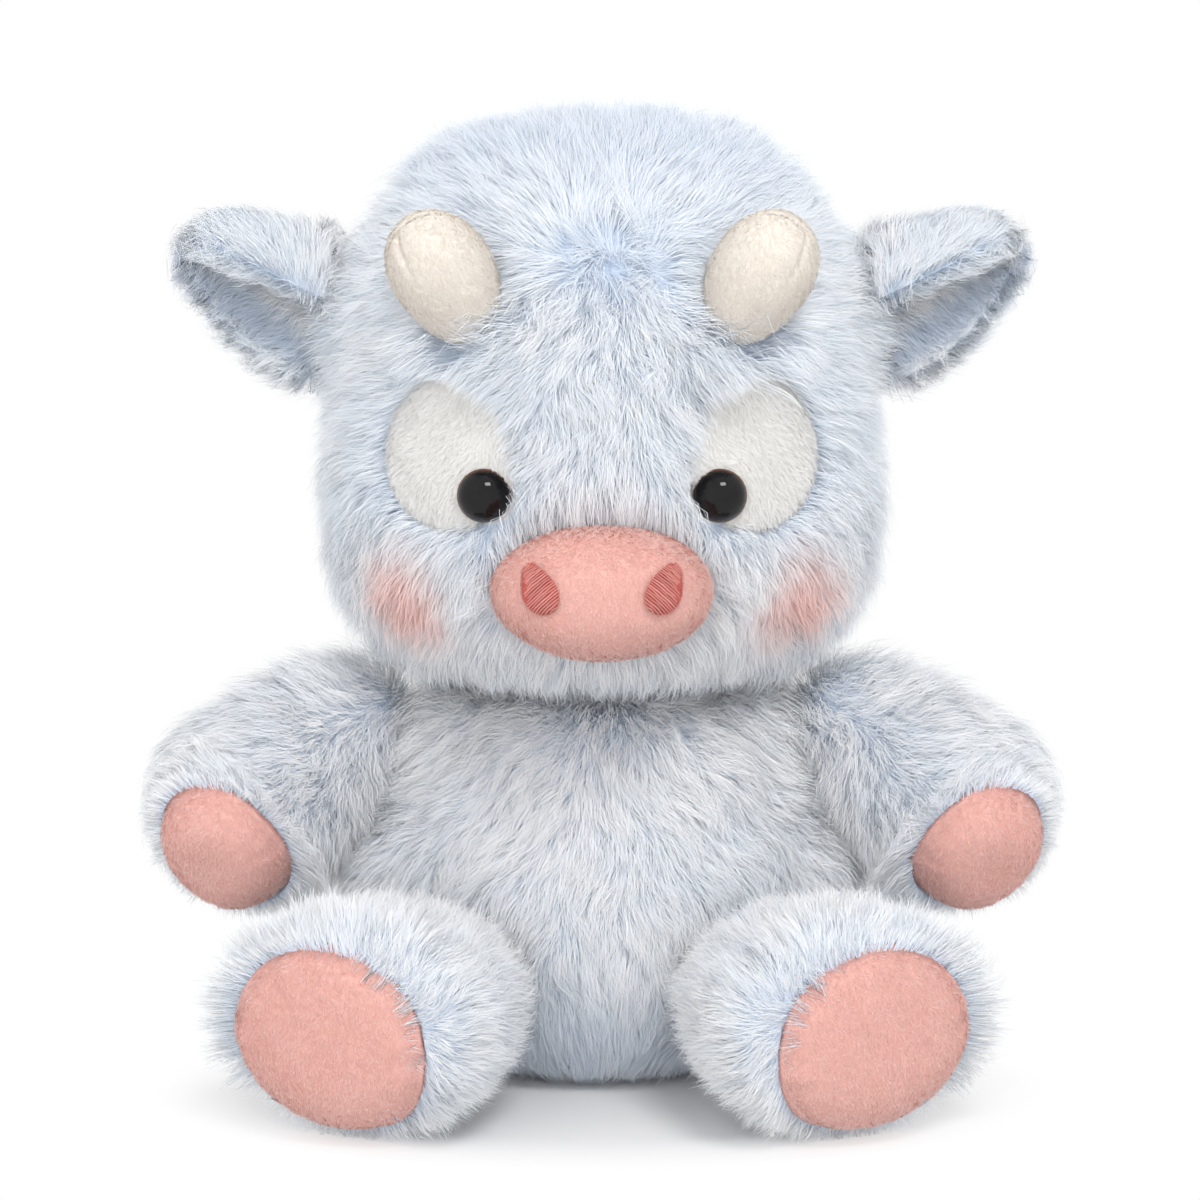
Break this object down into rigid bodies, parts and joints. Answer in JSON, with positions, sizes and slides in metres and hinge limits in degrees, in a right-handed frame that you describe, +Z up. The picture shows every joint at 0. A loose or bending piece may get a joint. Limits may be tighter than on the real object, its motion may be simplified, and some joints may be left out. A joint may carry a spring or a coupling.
{
  "type": "sitting plush cow",
  "caption": "Long-furred toy cow that sits on a flat seat, with stuffed head and limbs on soft seams, folded ears, short horns, velour snout and pads, and button eyes.",
  "frame": {"origin": "on the floor, under the middle of the whole toy", "axes": "+Z up, the face looks along -Y, +X towards the cow's own left"},
  "size_m": [0.2428, 0.2016, 0.259],
  "materials": {
    "blue_fur": "long-pile faux fur, matt",
    "ear_lining": "faux fur, shorter pile",
    "tuft_fur": "long loose pile",
    "pink_velour": "short-pile velour",
    "cream_velour": "short-pile velour",
    "white_plush": "short plush",
    "rosy_thread": "satin-stitch embroidery",
    "black_eye": "polished",
    "washer_plastic": "moulded",
    "fibre_fill": "loose polyester fibre"
  },
  "bodies": {
    "torso": {"body_skin": "blue_fur", "body_stuffing": "fibre_fill"},
    "head": {"head_skin": "blue_fur", "head_stuffing": "fibre_fill", "snout_skin": "pink_velour", "snout_stuffing": "fibre_fill", "nostril_left": "rosy_thread", "nostril_right": "rosy_thread", "eye_left": "black_eye", "eye_right": "black_eye", "eye_washer_left": "washer_plastic", "eye_washer_right": "washer_plastic", "eye_patch_left": "white_plush", "eye_patch_right": "white_plush", "horn_skin_left": "cream_velour", "horn_skin_right": "cream_velour", "horn_stuffing_left": "fibre_fill", "horn_stuffing_right": "fibre_fill"},
    "ear_left": {"ear_back_left": "blue_fur", "ear_lining_left": "ear_lining"},
    "ear_right": {"ear_back_right": "blue_fur", "ear_lining_right": "ear_lining"},
    "arm_left": {"arm_skin_left": "blue_fur", "arm_stuffing_left": "fibre_fill", "paw_pad_left": "pink_velour"},
    "arm_right": {"arm_skin_right": "blue_fur", "arm_stuffing_right": "fibre_fill", "paw_pad_right": "pink_velour"},
    "leg_left": {"leg_skin_left": "blue_fur", "leg_stuffing_left": "fibre_fill", "foot_pad_left": "pink_velour"},
    "leg_right": {"leg_skin_right": "blue_fur", "leg_stuffing_right": "fibre_fill", "foot_pad_right": "pink_velour"},
    "tail": {"tail": "blue_fur", "tail_tuft": "tuft_fur"}
  },
  "joints": [
    {"name": "neck_turn", "type": "hinge", "parent": "torso", "child": "head", "pos_m": [0, 0.00911, 0.112], "axis": [0, 0, 1], "range_deg": [-25, 25], "stiffness_Nm_per_rad": 0.5},
    {"name": "arm_left_lift", "type": "hinge", "parent": "torso", "child": "arm_left", "pos_m": [0.06679, 0.00911, 0.08991], "axis": [0, -1, 0], "range_deg": [-5, 40], "stiffness_Nm_per_rad": 0.15},
    {"name": "arm_right_lift", "type": "hinge", "parent": "torso", "child": "arm_right", "pos_m": [-0.06679, 0.00911, 0.08991], "axis": [0, 1, 0], "range_deg": [-5, 40], "stiffness_Nm_per_rad": 0.15},
    {"name": "leg_left_lift", "type": "hinge", "parent": "torso", "child": "leg_left", "pos_m": [0.04419, -0.05199, 0.0305], "axis": [-1, 0, 0], "range_deg": [0, 20], "stiffness_Nm_per_rad": 0.3},
    {"name": "leg_right_lift", "type": "hinge", "parent": "torso", "child": "leg_right", "pos_m": [-0.04419, -0.05199, 0.0305], "axis": [-1, 0, 0], "range_deg": [0, 20], "stiffness_Nm_per_rad": 0.3},
    {"name": "ear_left_flap", "type": "hinge", "parent": "head", "child": "ear_left", "pos_m": [0.07129, 0.01311, 0.206], "axis": [0, -1, 0], "range_deg": [-10, 20], "stiffness_Nm_per_rad": 0.02},
    {"name": "ear_right_flap", "type": "hinge", "parent": "head", "child": "ear_right", "pos_m": [-0.07129, 0.01311, 0.206], "axis": [0, 1, 0], "range_deg": [-10, 20], "stiffness_Nm_per_rad": 0.02},
    {"name": "tail_swing", "type": "hinge", "parent": "torso", "child": "tail", "pos_m": [0, 0.06187, 0.04201], "axis": [0, 0, 1], "range_deg": [-25, 25], "stiffness_Nm_per_rad": 0.01}
  ]
}
